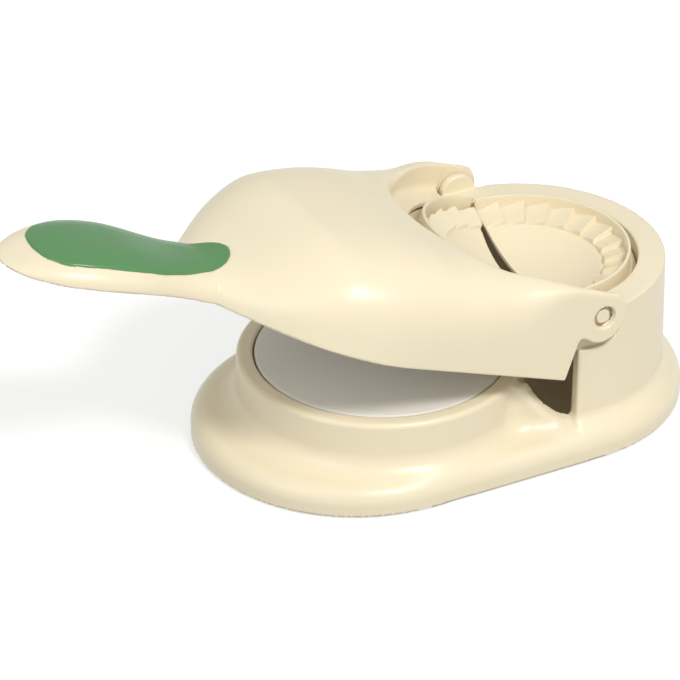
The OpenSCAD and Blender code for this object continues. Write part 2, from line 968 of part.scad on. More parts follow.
module moving_rims() {
  inner = groove_radius - rim_wall;
  rotate_extrude()
    polygon([
      [inner, flange_low],
      [rim_radius, flange_low],
      [rim_radius, rim_rise],
      [rim_radius - rim_wall, rim_rise],
      [rim_radius - rim_wall, flange_top],
      [groove_radius, flange_top],
      [groove_radius, -flute_drop - 2.2],
      [inner, -flute_drop - 2.2]
    ]);
}

module moving_flange() {
  translate([0, 0, flange_low + 0.1])
    linear_extrude(flange_thickness - 0.2)
      difference() {
        intersection() {
          union() {
            circle(pan_opening + 1.5);
            pan_spots(moving_screw_angles)
              circle(boss_radius + 0.4);
          }
          translate([pan_front + 1, -big / 2])
            square([big, big]);
        }
        circle(rim_radius - 0.8);
        pan_spots(moving_screw_angles)
          circle(screw_radius);
      }
}

module moving_mould() {
  color(cream)
    on_lever() {
      mould_land(groove_radius - 0.4, 1);
      intersection() {
        moving_rims();
        half_space(fold_gap);
      }
      moving_flange();
    }
}

module moving_mould_screws() {
  color(steel)
    on_lever()
      pan_spots(moving_screw_angles)
        translate([0, 0, flange_low]) {
          cylinder(r = screw_radius, h = 4.6);
          translate([0, 0, -screw_head_height])
            cylinder(r = screw_head_radius, h = screw_head_height);
        }
}

module under_cover_plan(x_low, gap) {
  points = [
    for (i = [0 : 40])
      let(x = x_low + (nose_end - 10 - x_low) * sin(90 * i / 40))
      [x, inner_width(x, cover_z + cover_thickness) - gap]
  ];
  polygon(concat(points, [for (i = [40 : -1 : 0]) [points[i][0], -points[i][1]]]));
}

module presser_spots() {
  for (a = [0, 120, 240])
    translate([pin_x - platform_x, 0, 0])
      rotate([0, 0, a])
        translate([28, 0, 0])
          children();
}

module under_cover() {
  color(cream)
    on_lever()
      difference() {
        translate([0, 0, cover_z])
          linear_extrude(cover_thickness)
            under_cover_plan(cheek_edge + 8, 0.4);
        translate([0, 0, cover_z - 1]) {
          under_screw_spots()
            cylinder(r = screw_radius, h = 5);
          presser_spots()
            cylinder(r = screw_radius, h = 5);
        }
      }
}

module under_cover_screws() {
  color(steel)
    on_lever()
      under_screw_spots()
        translate([0, 0, cover_z]) {
          cylinder(r = screw_radius, h = screw_bite + cover_thickness);
          translate([0, 0, -screw_head_height])
            cylinder(r = screw_head_radius, h = screw_head_height);
        }
}

module presser_disc() {
  color(white)
    on_lever()
      difference() {
        translate([pin_x - platform_x, 0, cover_z - presser_thickness])
          cylinder(r = presser_radius, h = presser_thickness);
        presser_spots()
          translate([0, 0, cover_z - presser_thickness + 0.6])
            cylinder(r = screw_radius, h = 5);
      }
}

module presser_screws() {
  color(steel)
    on_lever()
      presser_spots()
        translate([0, 0, cover_z - presser_thickness + 0.8]) {
          cylinder(r = screw_radius, h = presser_thickness + cover_thickness);
          translate([0, 0, presser_thickness + cover_thickness - 0.8])
            cylinder(r = screw_head_radius, h = screw_head_height);
        }
}

module handle_cover() {
  gap = 0.5;
  count = 26;
  x_low = neck_x - 1;
  x_high = tip_reach - 9;
  color(cream)
    on_lever()
      difference() {
        loft([
          for (i = [0 : count])
            let(x = x_low + (x_high - x_low) * sin(90 * i / count))
            let(z = rim_height(x) + cover_edge)
            let(w = inner_width(x, z + cover_thickness) - gap)
            [[x, w, z], [x, w, z + cover_thickness], [x, -w, z + cover_thickness], [x, -w, z]]
        ]);
        handle_screw_spots() {
          translate([0, 0, -1])
            cylinder(r = screw_radius, h = 6);
          translate([0, 0, -1])
            cylinder(r = screw_head_radius + 0.2, h = 1 + handle_seat);
          translate([0, 0, handle_seat + cover_thickness - 0.2])
            cylinder(r = boss_radius + 0.2, h = 2);
        }
      }
}

module handle_cover_screws() {
  color(steel)
    on_lever()
      handle_screw_spots()
        translate([0, 0, handle_seat]) {
          cylinder(r = screw_radius, h = screw_bite - handle_seat - 0.5);
          translate([0, 0, -screw_head_height])
            cylinder(r = screw_head_radius, h = screw_head_height);
        }
}

base_shell();
dough_plate();
fixed_mould();
fixed_mould_screws();
near_hinge_pin();
far_hinge_pin();
bottom_cover();
bottom_cover_screws();
foot_near_left();
foot_near_right();
foot_far_left();
foot_far_right();
foot_middle();
lever_shell();
moving_mould();
moving_mould_screws();
grip_inlay();
under_cover();
under_cover_screws();
presser_disc();
presser_screws();
handle_cover();
handle_cover_screws();
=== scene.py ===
import math

import bmesh
import bpy
import numpy as np
from mathutils import Matrix, Vector


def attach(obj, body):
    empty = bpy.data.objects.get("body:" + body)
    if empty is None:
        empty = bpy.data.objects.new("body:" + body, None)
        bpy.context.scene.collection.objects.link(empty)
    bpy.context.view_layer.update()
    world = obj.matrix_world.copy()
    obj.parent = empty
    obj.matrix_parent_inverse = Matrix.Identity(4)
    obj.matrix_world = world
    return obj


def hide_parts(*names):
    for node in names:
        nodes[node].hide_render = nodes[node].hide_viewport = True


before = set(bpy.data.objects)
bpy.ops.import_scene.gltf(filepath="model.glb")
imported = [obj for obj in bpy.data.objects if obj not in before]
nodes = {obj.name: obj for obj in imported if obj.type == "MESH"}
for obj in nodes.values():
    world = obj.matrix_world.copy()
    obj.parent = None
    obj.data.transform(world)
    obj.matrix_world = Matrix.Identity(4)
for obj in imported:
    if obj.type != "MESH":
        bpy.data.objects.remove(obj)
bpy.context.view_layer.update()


# ---- Camera ----
# The photograph looks down on the press from the front left, with a long lens.
CAMERA_PLACE = (-0.5855, -1.0233, 0.7349)
CAMERA_LOOK = (0.40003, 0.75985, -0.51245)
CAMERA_RIGHT = (0.88486, -0.46585, 0.0)
LENS, SENSOR = 173.74, 36.0


def place_camera():
    data = bpy.data.cameras.new("camera")
    data.sensor_width = SENSOR
    data.lens = LENS
    data.clip_end = 10.0
    view = bpy.data.objects.new("camera", data)
    bpy.context.scene.collection.objects.link(view)
    right = Vector(CAMERA_RIGHT).normalized()
    back = -Vector(CAMERA_LOOK).normalized()
    up = back.cross(right).normalized()
    turn = Matrix((right, up, back)).transposed().to_4x4()
    turn.translation = Vector(CAMERA_PLACE)
    view.matrix_world = turn
    bpy.context.scene.camera = view


place_camera()


# ---- Foot, platform and tower ----
# One moulded cream shell: a long foot with a broad rolled shoulder, the round
# platform, and the hollow tower whose wall runs down to it in a hollow sweep.
# It is drawn as a field of distances in mm and meshed where the field is zero.
def join(a, b, r):
    """Union of two fields with a fillet of radius r."""
    return np.maximum(r, np.minimum(a, b)) - np.hypot(np.maximum(r - a, 0), np.maximum(r - b, 0))


def cut(a, b, r):
    """Intersection of two fields with an edge rounded to radius r."""
    return np.minimum(-r, np.maximum(a, b)) + np.hypot(np.maximum(r + a, 0), np.maximum(r + b, 0))


def ramp(t):
    """A smooth step from 0 to 1 as t goes from 0 to 1."""
    t = np.clip(t, 0, 1)
    return t * t * (3 - 2 * t)


def gradient(field, p, h=0.05):
    """Slope of a field at the points, which is the way that its surface faces."""
    out = np.empty_like(p)
    for a in range(3):
        up, down = p.copy(), p.copy()
        up[:, a] += h
        down[:, a] -= h
        out[:, a] = (field(*up.T) - field(*down.T)) / (2 * h)
    return out


def net(field, low, high, step):
    """Points and outward quads on the zero surface of a field, all in mm."""
    axes = [np.arange(a - 1.6 * step, b + 2.6 * step, step) for a, b in zip(low, high)]
    val = np.empty([len(a) for a in axes])
    for i, x in enumerate(axes[0]):
        val[i] = field(x, *np.meshgrid(axes[1], axes[2], indexing="ij"))
    inside = val < 0
    ends = (slice(0, -1), slice(1, None))
    count = sum(inside[i, j, k].astype(np.int8) for i in ends for j in ends for k in ends)
    active = (count > 0) & (count < 8)
    cells = np.argwhere(active)
    ids = np.full(active.shape, -1)
    ids[active] = np.arange(len(cells))
    total = np.zeros((len(cells), 3))
    hits = np.zeros(len(cells))
    for a in range(3):
        b, c = (a + 1) % 3, (a + 2) % 3
        for ob in (0, 1):
            for oc in (0, 1):
                at = cells.copy()
                at[:, b] += ob
                at[:, c] += oc
                v0 = val[tuple(at.T)]
                to = at.copy()
                to[:, a] += 1
                v1 = val[tuple(to.T)]
                hit = (v0 < 0) != (v1 < 0)
                spot = at[hit].astype(float)
                spot[:, a] += v0[hit] / (v0[hit] - v1[hit])
                total[hit] += spot
                hits[hit] += 1
    points = total / hits[:, None] * step + [a[0] for a in axes]
    quads = []
    for a in range(3):
        b, c = (a + 1) % 3, (a + 2) % 3
        size = inside.shape[a]
        first = np.take(inside, range(size - 1), axis=a)
        at = np.argwhere(first != np.take(inside, range(1, size), axis=a))
        eb, ec = np.eye(3, dtype=int)[[b, c]]
        ring = np.stack([ids[tuple((at - o).T)] for o in (0 * eb, eb, eb + ec, ec)], 1)
        out = first[tuple(at.T)]
        quads += [ring[out], ring[~out][:, ::-1]]
    return points, np.concatenate(quads)


def settle(points, quads, field, rounds=3):
    """Evens out the net along the surface and puts each point exactly on it."""
    pairs = np.concatenate([quads[:, [k, (k + 1) % 4]] for k in range(4)])
    pairs = np.concatenate([pairs, pairs[:, ::-1]])
    share = np.bincount(pairs[:, 0], minlength=len(points))[:, None]
    for _ in range(rounds):
        slope = gradient(field, points)
        size = (slope ** 2).sum(1, keepdims=True) + 1e-9
        mean = np.stack([np.bincount(pairs[:, 0], points[pairs[:, 1], k], len(points))
                         for k in range(3)], 1)
        move = mean / share - points
        move -= slope * (move * slope).sum(1, keepdims=True) / size
        points = points + 0.5 * move
        slope = gradient(field, points)
        size = (slope ** 2).sum(1, keepdims=True) + 0.02
        push = np.clip(field(*points.T), -0.5, 0.5)[:, None] * slope / size
        points = points - push
    return points


def as_piece(name, body, node, slot, points, faces, normals=None):
    """Makes a smooth piece from points in mm in the press's own frame."""
    mesh = bpy.data.meshes.new(name)
    mesh.from_pydata((np.asarray(points) * 0.001).tolist(), [], np.asarray(faces).tolist())
    mesh.polygons.foreach_set("use_smooth", np.ones(len(mesh.polygons), dtype=bool))
    if normals is not None:
        mesh.normals_split_custom_set_from_vertices(np.asarray(normals).tolist())
    mesh.update()
    made = bpy.data.objects.new(name, mesh)
    bpy.context.scene.collection.objects.link(made)
    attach(made, body)
    if node:
        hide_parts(node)
    return made


def grown(field, low, high, step, rounds=3):
    """Points, faces and normals of the surface of a field inside a box."""
    points, quads = net(field, low, high, step)
    points = settle(points, quads, field, rounds)
    slope = gradient(field, points)
    normals = slope / (np.linalg.norm(slope, axis=1, keepdims=True) + 1e-9)
    return points, quads, normals


# Foot: half the distance of its round ends, their radius, the roll, top and gap below
FOOT_X, FOOT_R, ROLL, FOOT_Z, GAP_Z = 40.0, 68.3, 7.5, 13.0, 0.8
# Platform: centre, radius and top; and the seat of the white plate in it
PLAT_X, PLAT_R, PLAT_Z = -27.7, 60.0, 35.5
SEAT_R, SEAT_Z = 53.1, 32.0
# Tower: centre, radius at the top, spread at the root, top, front and inner radius
TOWER_X, TOWER_R, TOWER_SPREAD, TOWER_Z, FRONT_X, TOWER_IN = 40.0, 59.0, 1.2, 64.8, 31.8, 54.8
# Pins: the axis that the lever turns on
PIN_X, PIN_Z = 40.8, 64.2
# Hollow sweep from the tower's wall down to the platform
SWEEP_R, SWEEP_REACH, SWEEP_Z = 39.7, 100.6, 49.5
# Hinge: recess face and radius, lug radius and face, bore and its depth
RECESS_Y, RECESS_R, LUG_R, LUG_Y, PIN_R, BORE_Y = 57.3, 15.5, 8.3, 60.2, 4.2, 57.9


def rounded(side, top, r):
    """A wall and its top, with the edge between them rounded to radius r."""
    inner = np.minimum(np.maximum(side + r, top + r), 0)
    return inner + np.hypot(np.maximum(side + r, 0), np.maximum(top + r, 0)) - r


def base_field(x, y, z):
    y = np.abs(y)
    foot_r = np.hypot(np.maximum(np.abs(x) - FOOT_X, 0), y)
    plat_r = np.hypot(x - PLAT_X, y)
    tower_r = np.hypot(x - TOWER_X, y)
    pin_r = np.hypot(x - PIN_X, y)
    foot = rounded(foot_r - FOOT_R, z - FOOT_Z, ROLL)
    platform = rounded(plat_r - PLAT_R, z - PLAT_Z, 2.2)
    wall = tower_r - TOWER_R - TOWER_SPREAD * (TOWER_Z - z) / (TOWER_Z - FOOT_Z)
    tower = cut(rounded(wall, z - TOWER_Z, 0.8), FRONT_X - x, 0.8)
    sweep = SWEEP_R - np.hypot(np.minimum(plat_r - SWEEP_REACH, 0), np.minimum(z - SWEEP_Z, 0))
    web = cut(cut(wall, sweep, 2.0), z - 33.6, 1.5)
    web = np.maximum(web, x - FRONT_X - 1.5)
    body = join(foot, platform, 8.5)
    body = join(body, np.minimum(tower, web), 1.5 + 6.5 * np.clip((34 - z) / 20, 0, 1))
    # the tower's hollow, open to the front, with the ring and well for the mould
    open_front = PLAT_R - 2.5 * ramp((z - PLAT_Z - 0.1) / 1.5) - plat_r
    hollow = cut(cut(tower_r - TOWER_IN, open_front, 1.5), z - 61.8, 1.0)
    ring = cut(np.maximum(np.abs(pin_r - 46.95) - 2.55, 54.5 - z), FRONT_X - x, 0.6)
    hollow = np.maximum(hollow, -ring)
    body = cut(body, -hollow, 0.8)
    well = cut(pin_r - 46.9, 57 - z, 0.6)
    body = cut(body, -well, 0.7)
    body = np.maximum(body, -np.maximum(pin_r - 44.4, 50 - z))
    # flat recess beside each hinge, with a round lug in it
    turn = np.hypot(x - PIN_X, z - PIN_Z)
    spot = np.minimum(turn - RECESS_R, np.maximum(x - PIN_X, PIN_Z - RECESS_R - z))
    body = cut(body, -cut(RECESS_Y - y, spot, 0.6), 0.6)
    lug = rounded(turn - LUG_R, np.maximum(y - LUG_Y, RECESS_Y - 0.7 - y), 0.8)
    body = join(body, lug, 0.6)
    body = np.maximum(body, -np.maximum(turn - PIN_R, BORE_Y - y))
    # seat of the white plate, and the pocket of the cover below
    body = cut(body, -cut(plat_r - SEAT_R, SEAT_Z - z, 0.5), 1.1)
    pocket = np.maximum(foot_r - 65.5, z - 3.7)
    return np.maximum(np.maximum(body, -pocket), GAP_Z - z)


def build_base():
    reach = FOOT_X + FOOT_R
    made = grown(base_field, (-reach, -FOOT_R, GAP_Z), (reach, FOOT_R, 72.6), 1.05)
    as_piece("base_form", "base", "base_shell", "cream_plastic", *made)


build_base()


# ---- White plate ----
# A loose white disc that lies in the platform, moulded in one with a softly
# rounded edge; it lifts out for cleaning.
def turned(name, body, node, profile, centre, turns=160, along="z", flip=1):
    """A closed solid of revolution; the profile runs from axis to axis."""
    points, faces = [], []
    rings = []
    for r, h in profile:
        if r < 1e-6:
            rings.append([len(points)])
            points.append((0.0, 0.0, h))
            continue
        rings.append(list(range(len(points), len(points) + turns)))
        for k in range(turns):
            a = 2 * math.pi * k / turns
            points.append((r * math.cos(a), r * math.sin(a), h))
    for low, high in zip(rings, rings[1:]):
        for k in range(turns):
            n = (k + 1) % turns
            if len(low) == 1:
                faces.append((low[0], high[n], high[k]))
            elif len(high) == 1:
                faces.append((low[k], low[n], high[0]))
            else:
                faces.append((low[k], low[n], high[n], high[k]))
    points = np.array(points)
    if along == "y":
        points = np.stack([points[:, 0], flip * points[:, 2], points[:, 1] * -flip], 1)
    points = points + centre
    mesh = bpy.data.meshes.new(name)
    mesh.from_pydata((points * 0.001).tolist(), [], faces)
    mesh.polygons.foreach_set("use_smooth", np.ones(len(mesh.polygons), dtype=bool))
    mesh.update()
    made = bpy.data.objects.new(name, mesh)
    bpy.context.scene.collection.objects.link(made)
    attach(made, body)
    if node:
        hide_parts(node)
    return made


def round_corner(r, h, radius, steps=6):
    """Points of a rounded outer corner from the side up to the top."""
    turns = [math.radians(a) for a in np.linspace(0, 90, steps)]
    return [(r + radius * (math.cos(a) - 1), h + radius * (math.sin(a) - 1)) for a in turns]


PLATE_R, PLATE_H = 52.4, 3.2


def build_plate():
    rim = [(PLATE_R - 0.4, 0.0), (PLATE_R, 0.4)] + round_corner(PLATE_R, PLATE_H, 0.9)
    flat = [(r, PLATE_H) for r in (50.0, 46.0, 40.0, 30.0, 20.0, 10.0)]
    profile = [(0, 0), (40.0, 0)] + rim + flat + [(0, PLATE_H)]
    turned("plate_form", "base", "dough_plate", profile, (PLAT_X, 0, SEAT_Z))


build_plate()


# ---- Hinge pins ----
# Short round studs pressed into the lugs; the lever's cheeks turn on them, and
# a slimmer nose on each shows in the hole of the cheek.
def build_pins():
    for side, node in ((-1, "near_hinge_pin"), (1, "far_hinge_pin")):
        shoulder = round_corner(PIN_R, 2.5, 0.3, steps=4)
        face = [(3.15, 2.5), (3.1, 2.6)] + round_corner(3.1, 4.0, 0.5)
        profile = [(0, 0), (PIN_R, 0)] + shoulder + face + [(1.6, 3.97), (0, 3.95)]
        turned(node.replace("hinge_pin", "pin_form"), "base", node, profile,
               (PIN_X, side * BORE_Y, PIN_Z), turns=96, along="y", flip=side)


build_pins()


# ---- Fixed half of the folding mould ----
# A cream moulding screwed to the ledge of the tower's well: a thin raised rim,
# a fan of tilted flutes and the round filling bowl.
BOWL_R, BOWL_UP, BOWL_WALL = 62.18, 47.18, 2.0
FLUTE_TURN = math.radians(15.0)
FLUTE_OUT, FLUTE_IN, FLUTE_Z, FLUTE_FALL, FLUTE_STEP = 42.5, 33.0, -1.2, 0.364, 0.078


def flute_mean(r):
    """Mean height of the flutes; they fall towards the bowl."""
    return FLUTE_Z - FLUTE_FALL * (FLUTE_OUT - r)


def flute_top(x, y, lean):
    """Height of the fanned flutes above the pin axis; each overlaps the next."""
    r = np.hypot(x, y)
    share = (np.arctan2(y, x) / FLUTE_TURN) % 1.0
    saw = np.where(share < 0.95, share / 0.95, (1 - share) / 0.05) - 0.5
    if lean < 0:
        saw = -saw
    return flute_mean(r) + FLUTE_STEP * saw * r


def land_field(x, y, z, outer, lean):
    """The flutes and the bowl, which both halves of the mould share."""
    r = np.hypot(x, y)
    bowl = np.hypot(r, z - BOWL_UP) - BOWL_R
    room = np.maximum(FLUTE_IN - 2.5 - r, flute_mean(r) - 0.042 * r - z)
    flange = np.maximum(np.abs(z + 5.55) - 0.95, r - outer)
    shell = np.maximum(bowl - BOWL_WALL, z + 5.5)
    plate = np.maximum(cut(np.minimum(flange, shell), -bowl, 0.3), -room)
    blades = cut((z - flute_top(x, y, lean)) * 0.88, FLUTE_IN - r, 0.35)
    blades = np.maximum(np.maximum(blades, -6.4 - z), r - outer)
    return np.minimum(plate, blades)


def fixed_field(x, y, z):
    x, z = x - PIN_X, z - PIN_Z
    r = np.hypot(x, y)
    land = land_field(x, y, z, 43.0, -1)
    rim = cut(np.abs(r - 43.25) - 0.65, np.maximum(z - 3.3, -7.2 - z), 0.3)
    foot = cut(np.maximum(37.5 - r, r - 46.4), np.abs(z + 6.2) - 1.0, 0.3)
    body = join(np.minimum(land, rim), foot, 0.5)
    return cut(body, 0.3 - x, 0.25)


def build_fixed_mould():
    made = grown(fixed_field, (41.1, -46.4, 46.0), (87.2, 46.4, 67.5), 0.5, rounds=2)
    as_piece("fixed_mould_form", "base", "fixed_mould", "mould_plastic", *made)


build_fixed_mould()


# ---- Lever ----
# The wide cream lever: two cheeks on the pins, a round recess for the mould, and
# a domed nose that runs down in one slope to the hollow handle. One moulded
# shell; x runs from the pins to the tip of the handle, z up from the pins.
TILT = math.radians(19.9)
CHEEK_IN, CHEEK_OUT = 60.5, 63.4
NOSE_X, TIP_X, GRIP_X = 77.0, 240.0, 195.0
PAN_R, PAN_Z, OPENING_R, FLOOR_X = 61.0, -1.0, 51.0, 9.8


def lever_lines():
    """Half width, rim, height and squareness of the lever's section along it."""
    x = np.arange(-24.0, 252.0, 0.25)
    part = np.clip((x - NOSE_X) / 76.3, 0, 1)
    tip = np.clip((x - GRIP_X) / (TIP_X - GRIP_X), 0, 1)
    fall = np.clip((x - GRIP_X - 2) / (TIP_X - GRIP_X - 2), 0, 1)
    rim = -29.5 + 1.6 * ramp((x - 86.5) / 51.3) + 3.9 * ramp((x - 147.3) / 45.7) - 2.6 * ramp(tip)
    nose = CHEEK_OUT * (1 - part ** 2.52) ** 0.562
    hand = 21.35 + 5.6 * ramp((x - 160.2) / 34.8)
    half = np.maximum(nose, hand) + np.maximum(0, 21.5 - np.abs(nose - hand)) ** 2 / 86.0
    dome = 11.2 + 0.86 * ramp((x - 61) / 15) - 4.96 * ramp((x - 81.5) / 45)
    slope = ramp((x - 111.8) / 42.8)
    top = dome * (1 - slope) + (-16.36 + 2.96 * ramp((x - 160.2) / 34.8)) * slope
    near = np.maximum(0, x)
    square = 3.39 + 16.0 * np.exp(-near / 21.8) + 100.0 * np.exp(-(near / 17.0) ** 2)
    square = np.minimum(square - 0.62 * ramp((x - 100) / 50), 50.0)
    return x, half * np.sqrt(1 - tip ** 2.07), rim, (top - rim) * (1 - 0.98 * fall ** 2.27), square


LINES = lever_lines()
SLOPES = [np.gradient(line, LINES[0]) for line in LINES]


def lever_skin(x, y, z, side=0.0, top=0.0, drop=0.0):
    """Distance, nearly, to the skin of the lever, or to one set in from it."""
    half, rim, tall, p = [np.interp(x, LINES[0], line) for line in LINES[1:]]
    dw, dr, dh = [np.interp(x, LINES[0], line) for line in SLOPES[1:4]]
    w = np.maximum(half - side, 0.4)
    h = np.maximum(tall - top + drop, 0.4)
    u = np.abs(y) / w
    v = np.maximum(z - rim + drop, 0) / h
    m = (u ** p + v ** p) ** (1 / p) + 1e-9
    gu = (u / m) ** (p - 1)
    gv = (v / m) ** (p - 1)
    gx = gu * u * dw / w + gv * (dr / h + v * dh / h)
    return (m - 1) / np.sqrt((gu / w) ** 2 + (gv / h) ** 2 + gx ** 2 + 1e-9)


def outline_map(points, low, high, step=0.25):
    """A lookup of the signed distance to a closed outline in plan."""
    xs, ys = np.arange(low[0], high[0], step), np.arange(low[1], high[1], step)
    gx, gy = np.meshgrid(xs, ys, indexing="ij")
    best = np.full(gx.shape, 1e9)
    within = np.zeros(gx.shape, dtype=bool)
    for (ax, ay), (bx, by) in zip(points, np.roll(points, -1, 0)):
        ex, ey = bx - ax, by - ay
        t = np.clip(((gx - ax) * ex + (gy - ay) * ey) / (ex * ex + ey * ey + 1e-12), 0, 1)
        best = np.minimum(best, np.hypot(gx - ax - t * ex, gy - ay - t * ey))
        if abs(ey) > 1e-12:
            within ^= ((ay > gy) != (by > gy)) & (gx < ax + (gy - ay) * ex / ey)
    table = np.where(within, -best, best)

    def look(x, y):
        fx = np.clip((x - low[0]) / step, 0, len(xs) - 1.001)
        fy = np.clip((y - low[1]) / step, 0, len(ys) - 1.001)
        i, j = fx.astype(int), fy.astype(int)
        fx, fy = fx - i, fy - j
        near = table[i, j] * (1 - fx) + table[i + 1, j] * fx
        return near * (1 - fy) + (table[i, j + 1] * (1 - fx) + table[i + 1, j + 1] * fx) * fy

    return look


def through(knots, steps=8):
    """A smooth line through the knots (Catmull-Rom)."""
    k = np.array(knots, float)
    k = np.concatenate([[2 * k[0] - k[1]], k, [2 * k[-1] - k[-2]]])
    line = []
    for a, b, c, d in zip(k, k[1:], k[2:], k[3:]):
        for t in np.arange(steps) / steps:
            line.append(0.5 * (2 * b + (c - a) * t + (2 * a - 5 * b + 4 * c - d) * t * t
                               + (3 * b - a - 3 * c + d) * t ** 3))
    return np.array(line + [k[-2]])


def inlay_outline():
    side = through([(141.8, 0.0), (142.4, 3.0), (144.0, 6.5), (147.0, 9.5), (151.9, 11.8), (160.6, 14.5),
                    (173.2, 18.4), (182.4, 20.9), (195.2, 22.3), (209.0, 21.0), (215.5, 19.3), (220.9, 17.1),
                    (225.5, 11.9), (227.4, 6.5), (228.1, 0.0)])
    return np.concatenate([side, side[-2:0:-1] * [1, -1]])


inlay_plan = outline_map(inlay_outline(), (130.0, -28.0), (244.0, 28.0))
INLAY_SINK = 1.25


def lever_field(x, y, z):
    y = np.abs(y)
    skin = lever_skin(x, y, z)
    rim = np.interp(x, LINES[0], LINES[2])
    body = cut(cut(skin, rim - z, 0.9), x - TIP_X + 0.1, 0.5)
    r = np.hypot(x, y)
    # the round recess, its opening, the gap between the cheeks and the space below
    body = cut(body, -cut(r - PAN_R, PAN_Z - z, 3.0), 1.2 + 5.0 * ramp((x - 30) / 20))
    body = cut(body, -np.maximum(r - OPENING_R, -12.0 - z), 0.6)
    body = cut(body, -cut(y - CHEEK_IN, x - FLOOR_X, 3.0), 0.7)
    tub = np.maximum(np.maximum(r - PAN_R - 2.5, PAN_Z - 2.5 - z), FLOOR_X - x)
    inner = lever_skin(x, y, z, 2.9, 2.8, 8.0)
    body = cut(body, -cut(inner, -tub, 1.0), 0.6)
    # the round end of each cheek, with the hole that shows the pin
    turn = np.hypot(x, z)
    around = np.hypot(np.where(x < 0, 1.12 * x, x), z)
    side = np.minimum(join(around - 11.5, 8.2 - x, 4.0), np.maximum(-x, -z))
    body = cut(body, np.where(x < 60, side, -20.0), 0.7)
    body = cut(body, -np.maximum(turn - 4.9, 61.4 - y), 0.45)
    body = np.maximum(body, -np.maximum(turn - PIN_R - 0.05, 50.0 - y))
    plan = inlay_plan(x, y)
    return cut(body, -cut(-(skin + INLAY_SINK), 0.707 * (plan - skin), 0.3), 0.3)


def from_lever(points, normals=None):
    """From the lever's own directions, handle along +X, to the press at rest."""
    c, s = math.cos(TILT), math.sin(TILT)
    turn = np.array([[-c, 0, s], [0, 1, 0], [s, 0, c]])
    placed = points @ turn.T + [PIN_X, 0, PIN_Z]
    return placed if normals is None else (placed, normals @ turn.T)


def lever_piece(name, node, slot, field, low, high, step, rounds=3):
    """Meshes a field in the lever's directions and sets it in the press at rest."""
    points, quads, normals = grown(field, low, high, step, rounds)
    points, normals = from_lever(points, normals)
    return as_piece(name, "lever", node, slot, points, quads[:, ::-1], normals)


lever_piece("lever_form", "lever_shell", "lever_plastic", lever_field,
            (-11.5, -CHEEK_OUT, -29.5), (TIP_X, CHEEK_OUT, 12.1), 1.0)


# ---- Soft inlay of the handle ----
# A green soft-touch pad laid into the top of the handle, standing up a little
# from the shell around it.
def inlay_field(x, y, z):
    skin = lever_skin(x, y, z)
    plan = inlay_plan(x, y)
    top = skin - 0.3 - 0.25 * ramp((-plan - 1) / 8)
    return cut(cut(plan + 0.3, top, 0.6), -(skin + 1.0), 0.2)


lever_piece("inlay_form", "grip_inlay", "green_grip", inlay_field,
            (141.5, -22.6, -27.0), (228.4, 22.6, -8.0), 0.6)


# ---- Moving half of the folding mould ----
# The same fan and hollow, facing it when the lever is folded over; a groove
# inside its rim takes the rim of the fixed half. Screwed up under the recess.
def moving_field(x, y, z):
    r = np.hypot(x, y)
    land = land_field(x, y, z, 42.5, 1)
    rim = cut(np.abs(r - 45.65) - 0.75, np.maximum(z - 3.3, -7.0 - z), 0.35)
    floor = cut(np.abs(r - 43.7) - 2.7, np.abs(z + 6.0) - 1.0, 0.3)
    step = np.maximum(np.abs(r - 41.75) - 0.75, np.maximum(z + 3.4, -7.0 - z))
    ledge = cut(np.maximum(r - 52.5, 46.0 - r), np.abs(z + 6.0) - 0.9, 0.3)
    ledge = np.maximum(ledge, 10.8 - x)
    body = np.minimum(np.minimum(land, step), join(np.minimum(rim, floor), ledge, 0.4))
    return cut(body, 0.3 - x, 0.25)


lever_piece("moving_mould_form", "moving_mould", "mould_plastic", moving_field,
            (0.3, -52.5, -18.5), (52.5, 52.5, 3.3), 0.5, rounds=2)


# ---- Plastic ----
# Warm cream moulded plastic with a fine satin skin, the same on foot and lever;
# white plate and disc, green soft-touch pad, black rubber feet, steel screws.
def moulded_plastic(name, colour, rough=0.36, mottle=0.03, grain=0.02):
    mat = bpy.data.materials.new(name)
    mat.use_nodes = True
    tree = mat.node_tree
    shader = tree.nodes["Principled BSDF"]
    place = tree.nodes.new("ShaderNodeTexCoord")
    clouds = tree.nodes.new("ShaderNodeTexNoise")
    clouds.inputs["Scale"].default_value = 22.0
    clouds.inputs["Detail"].default_value = 3.0
    tree.links.new(place.outputs["Object"], clouds.inputs["Vector"])
    tint = tree.nodes.new("ShaderNodeValToRGB")
    tint.color_ramp.elements[0].position = 0.3
    tint.color_ramp.elements[1].position = 0.7
    tint.color_ramp.elements[0].color = [c * (1 - mottle) for c in colour] + [1]
    tint.color_ramp.elements[1].color = list(colour) + [1]
    tree.links.new(clouds.outputs["Fac"], tint.inputs["Fac"])
    tree.links.new(tint.outputs["Color"], shader.inputs["Base Color"])
    skin = tree.nodes.new("ShaderNodeTexNoise")
    skin.inputs["Scale"].default_value = 900.0
    skin.inputs["Detail"].default_value = 2.0
    tree.links.new(place.outputs["Object"], skin.inputs["Vector"])
    spread = tree.nodes.new("ShaderNodeMapRange")
    spread.inputs["To Min"].default_value = rough - 0.04
    spread.inputs["To Max"].default_value = rough + 0.06
    tree.links.new(skin.outputs["Fac"], spread.inputs["Value"])
    tree.links.new(spread.outputs["Result"], shader.inputs["Roughness"])
    bump = tree.nodes.new("ShaderNodeBump")
    bump.inputs["Strength"].default_value = grain
    bump.inputs["Distance"].default_value = 0.0004
    tree.links.new(skin.outputs["Fac"], bump.inputs["Height"])
    tree.links.new(bump.outputs["Normal"], shader.inputs["Normal"])
    return mat


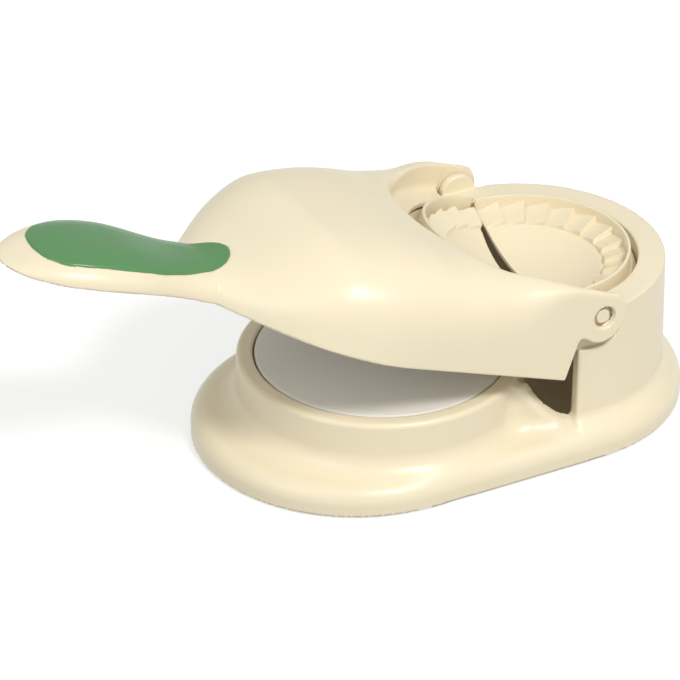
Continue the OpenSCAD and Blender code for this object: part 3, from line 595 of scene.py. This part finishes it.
cream = moulded_plastic("cream_plastic", (0.87, 0.77, 0.575), rough=0.32)
white = moulded_plastic("white_plastic", (0.80, 0.775, 0.73), rough=0.4)
green = moulded_plastic("green_grip", (0.10, 0.265, 0.10), rough=0.3, grain=0.05)
rubber = moulded_plastic("foot_rubber", (0.02, 0.02, 0.02), rough=0.6)
steel = moulded_plastic("screw_steel", (0.5, 0.5, 0.52), rough=0.3)
steel.node_tree.nodes["Principled BSDF"].inputs["Metallic"].default_value = 1.0


def dress(node, mat):
    mesh = nodes[node].data
    mesh.materials.clear()
    mesh.materials.append(mat)


for name, mat in (("base_form", cream), ("plate_form", white), ("near_pin_form", cream),
                  ("far_pin_form", cream), ("fixed_mould_form", cream), ("lever_form", cream),
                  ("inlay_form", green), ("moving_mould_form", cream)):
    bpy.data.objects[name].data.materials.append(mat)

for name in nodes:
    if "screw" in name:
        dress(name, steel)
    elif name.startswith("foot_"):
        dress(name, rubber)
    elif name in ("dough_plate", "presser_disc"):
        dress(name, white)
    elif name == "grip_inlay":
        dress(name, green)
    else:
        dress(name, cream)


# ---- Floor and light ----
# A plain pale table and soft studio light: a key lamp from the front and above,
# a large weak lamp from the left, and an even pale surround.
FLOOR_GREY, FLOOR_GLOW = 0.48, 0.6


def lay_floor():
    mesh = bpy.data.meshes.new("floor")
    made = bmesh.new()
    bmesh.ops.create_grid(made, x_segments=1, y_segments=1, size=3.0)
    made.to_mesh(mesh)
    made.free()
    floor = bpy.data.objects.new("floor", mesh)
    bpy.context.scene.collection.objects.link(floor)
    mat = bpy.data.materials.new("floor")
    mat.use_nodes = True
    tree = mat.node_tree
    shader = tree.nodes["Principled BSDF"]
    shader.inputs["Base Color"].default_value = (FLOOR_GREY, FLOOR_GREY, FLOOR_GREY, 1)
    shader.inputs["Roughness"].default_value = 0.85
    seen = tree.nodes.new("ShaderNodeLightPath")
    either = tree.nodes.new("ShaderNodeMath")
    either.operation = "MAXIMUM"
    tree.links.new(seen.outputs["Is Camera Ray"], either.inputs[0])
    tree.links.new(seen.outputs["Is Glossy Ray"], either.inputs[1])
    through_glass = tree.nodes.new("ShaderNodeMath")
    through_glass.operation = "MAXIMUM"
    tree.links.new(either.outputs["Value"], through_glass.inputs[0])
    tree.links.new(seen.outputs["Is Transmission Ray"], through_glass.inputs[1])
    glow = tree.nodes.new("ShaderNodeMath")
    glow.operation = "MULTIPLY"
    glow.inputs[1].default_value = FLOOR_GLOW
    tree.links.new(through_glass.outputs["Value"], glow.inputs[0])
    shader.inputs["Emission Color"].default_value = (1, 1, 1, 1)
    tree.links.new(glow.outputs["Value"], shader.inputs["Emission Strength"])
    mesh.materials.append(mat)


lay_floor()


def studio_light():
    world = bpy.data.worlds.new("studio")
    bpy.context.scene.world = world
    world.use_nodes = True
    tree = world.node_tree
    back = tree.nodes["Background"]
    back.inputs["Color"].default_value = (0.97, 1.0, 0.97, 1)
    back.inputs["Strength"].default_value = 0.53

    def lamp(name, place, aim, size, power, tint):
        data = bpy.data.lights.new(name, "AREA")
        data.color = tint
        data.shape = "DISK"
        data.size = size
        data.energy = power
        soft = bpy.data.objects.new(name, data)
        soft.location = place
        way = Vector(aim) - Vector(place)
        soft.rotation_euler = way.to_track_quat("-Z", "Y").to_euler()
        bpy.context.scene.collection.objects.link(soft)

    lamp("key", (0.08, -0.98, 1.28), (0, 0, 0.05), 0.35, 14.5, (1.0, 0.975, 0.93))
    lamp("left_fill", (-1.2, -0.35, 0.95), (0, 0, 0.05), 1.0, 4, (1, 1, 1))


studio_light()
bpy.context.scene.view_settings.view_transform = "Standard"
